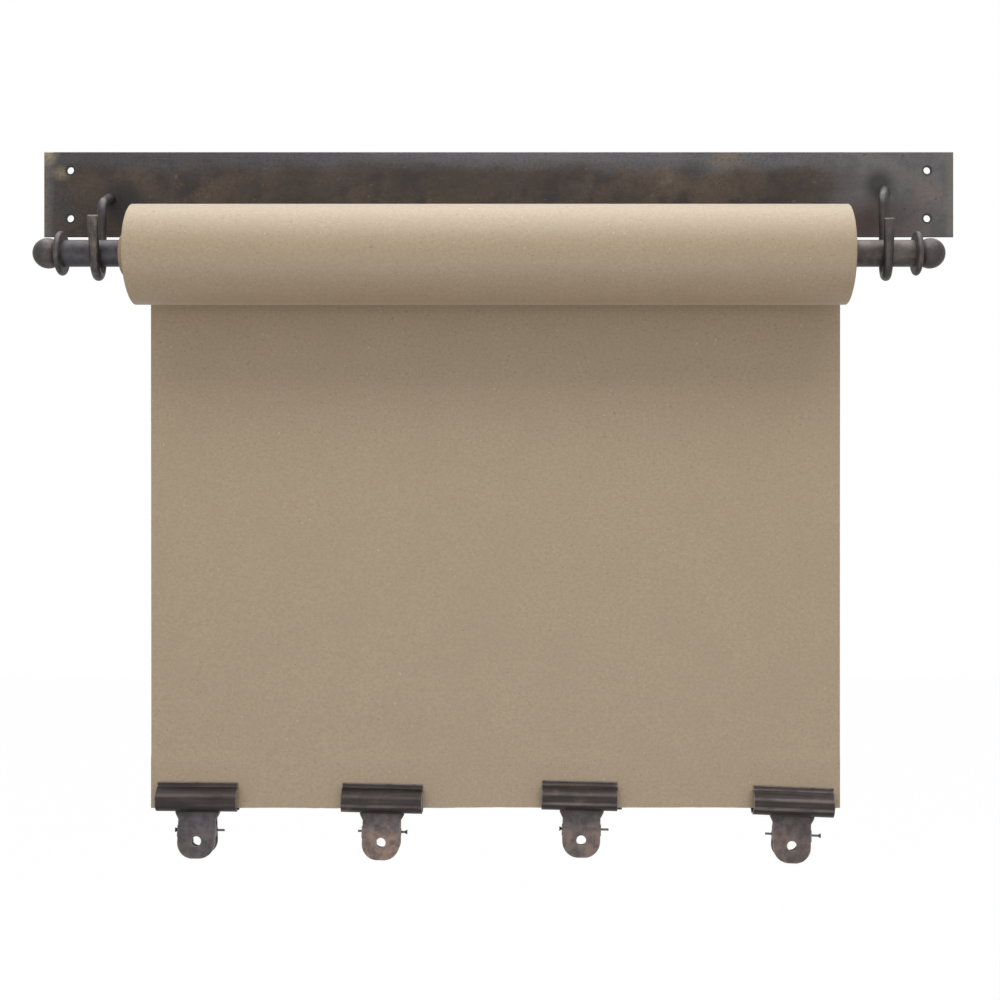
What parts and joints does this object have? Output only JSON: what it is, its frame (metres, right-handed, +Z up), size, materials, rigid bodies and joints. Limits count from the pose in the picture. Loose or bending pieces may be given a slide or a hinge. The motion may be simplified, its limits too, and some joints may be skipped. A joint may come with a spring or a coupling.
{
  "type": "hanging note roll holder",
  "caption": "Wall plate with forged hooks that carry a rod and a turning kraft paper roll, with a sheet hanging from it and sprung bulldog clips on its lower edge.",
  "frame": {"origin": "centre of the wall plate's back face, which is the centre of its screw pattern", "axes": "+X to the right along the plate, +Y into the wall, +Z up; the front faces -Y"},
  "size_m": [0.813, 0.103, 0.6308],
  "materials": {
    "plate_iron": "worn dark patina",
    "hook_iron": "forged dark patina",
    "rod_iron": "satin dark patina",
    "plug_steel": "turned",
    "clip_steel": "dark bronzed",
    "pin_steel": "dull",
    "spring_steel": "drawn wire",
    "core_card": "matt",
    "kraft_paper": "matt"
  },
  "bodies": {
    "wall": {"wall_plate": "plate_iron", "hook_left": "hook_iron", "hook_right": "hook_iron"},
    "rod": {"rod": "rod_iron", "rod_plug_left": "plug_steel", "rod_plug_right": "plug_steel"},
    "collar_left": {"collar_left": "rod_iron"},
    "finial_left": {"finial_left": "rod_iron"},
    "collar_right": {"collar_right": "rod_iron"},
    "finial_right": {"finial_right": "rod_iron"},
    "roll": {"core_tube": "core_card", "paper_roll": "kraft_paper"},
    "sheet": {"hanging_sheet": "kraft_paper", "clip_1_rear_jaw": "clip_steel", "clip_1_pin": "pin_steel", "clip_1_spring": "spring_steel", "clip_2_rear_jaw": "clip_steel", "clip_2_pin": "pin_steel", "clip_2_spring": "spring_steel", "clip_3_rear_jaw": "clip_steel", "clip_3_pin": "pin_steel", "clip_3_spring": "spring_steel", "clip_4_rear_jaw": "clip_steel", "clip_4_pin": "pin_steel", "clip_4_spring": "spring_steel"},
    "clip_1": {"clip_1_front_jaw": "clip_steel"},
    "clip_2": {"clip_2_front_jaw": "clip_steel"},
    "clip_3": {"clip_3_front_jaw": "clip_steel"},
    "clip_4": {"clip_4_front_jaw": "clip_steel"}
  },
  "joints": [
    {"name": "rod_lift", "type": "slide", "parent": "wall", "child": "rod", "axis": [0, 0, 1], "range_m": [0, 0.055]},
    {"name": "collar_left_slide", "type": "slide", "parent": "rod", "child": "collar_left", "axis": [-1, 0, 0], "range_m": [0, 0.015]},
    {"name": "finial_left_unscrew", "type": "hinge", "parent": "collar_left", "child": "finial_left", "pos_m": [-0.3845, -0.06, -0.061], "axis": [-1, 0, 0], "range_deg": [0, 4320]},
    {"name": "collar_right_slide", "type": "slide", "parent": "rod", "child": "collar_right", "axis": [1, 0, 0], "range_m": [0, 0.015]},
    {"name": "finial_right_unscrew", "type": "hinge", "parent": "collar_right", "child": "finial_right", "pos_m": [0.3715, -0.06, -0.061], "axis": [1, 0, 0], "range_deg": [0, 4320]},
    {"name": "roll_spin", "type": "hinge", "parent": "rod", "child": "roll", "pos_m": [-0.005, -0.06, -0.0621], "axis": [-1, 0, 0], "range_deg": [-360, 720]},
    {"name": "sheet_feed", "type": "slide", "parent": "rod", "child": "sheet", "axis": [0, 0, -1], "range_m": [-0.271, 0.541], "deforming": ["hanging_sheet"]},
    {"name": "clip_1_open", "type": "hinge", "parent": "sheet", "child": "clip_1", "pos_m": [-0.266, -0.01675, -0.565], "axis": [1, 0, -0.0087], "range_deg": [0, 30], "stiffness_Nm_per_rad": 0.35, "springref_deg": -57.3, "deforming": ["clip_1_spring"]},
    {"name": "clip_2_open", "type": "hinge", "parent": "sheet", "child": "clip_2", "pos_m": [-0.1032, -0.01675, -0.5664], "axis": [0.9997, 0, -0.0244], "range_deg": [0, 30], "stiffness_Nm_per_rad": 0.35, "springref_deg": -57.3, "deforming": ["clip_2_spring"]},
    {"name": "clip_3_open", "type": "hinge", "parent": "sheet", "child": "clip_3", "pos_m": [0.0735, -0.01675, -0.5642], "axis": [0.9997, 0, -0.0227], "range_deg": [0, 30], "stiffness_Nm_per_rad": 0.35, "springref_deg": -57.3, "deforming": ["clip_3_spring"]},
    {"name": "clip_4_open", "type": "hinge", "parent": "sheet", "child": "clip_4", "pos_m": [0.2594, -0.01675, -0.5692], "axis": [0.9991, 0, -0.0419], "range_deg": [0, 30], "stiffness_Nm_per_rad": 0.35, "springref_deg": -57.3, "deforming": ["clip_4_spring"]}
  ],
  "couplings": [
    {"joint": "finial_left_unscrew", "follows": "collar_left_slide", "rad_per_m": 5026.5},
    {"joint": "finial_right_unscrew", "follows": "collar_right_slide", "rad_per_m": 5026.5},
    {"joint": "sheet_feed", "follows": "roll_spin", "m_per_rad": 0.043}
  ]
}
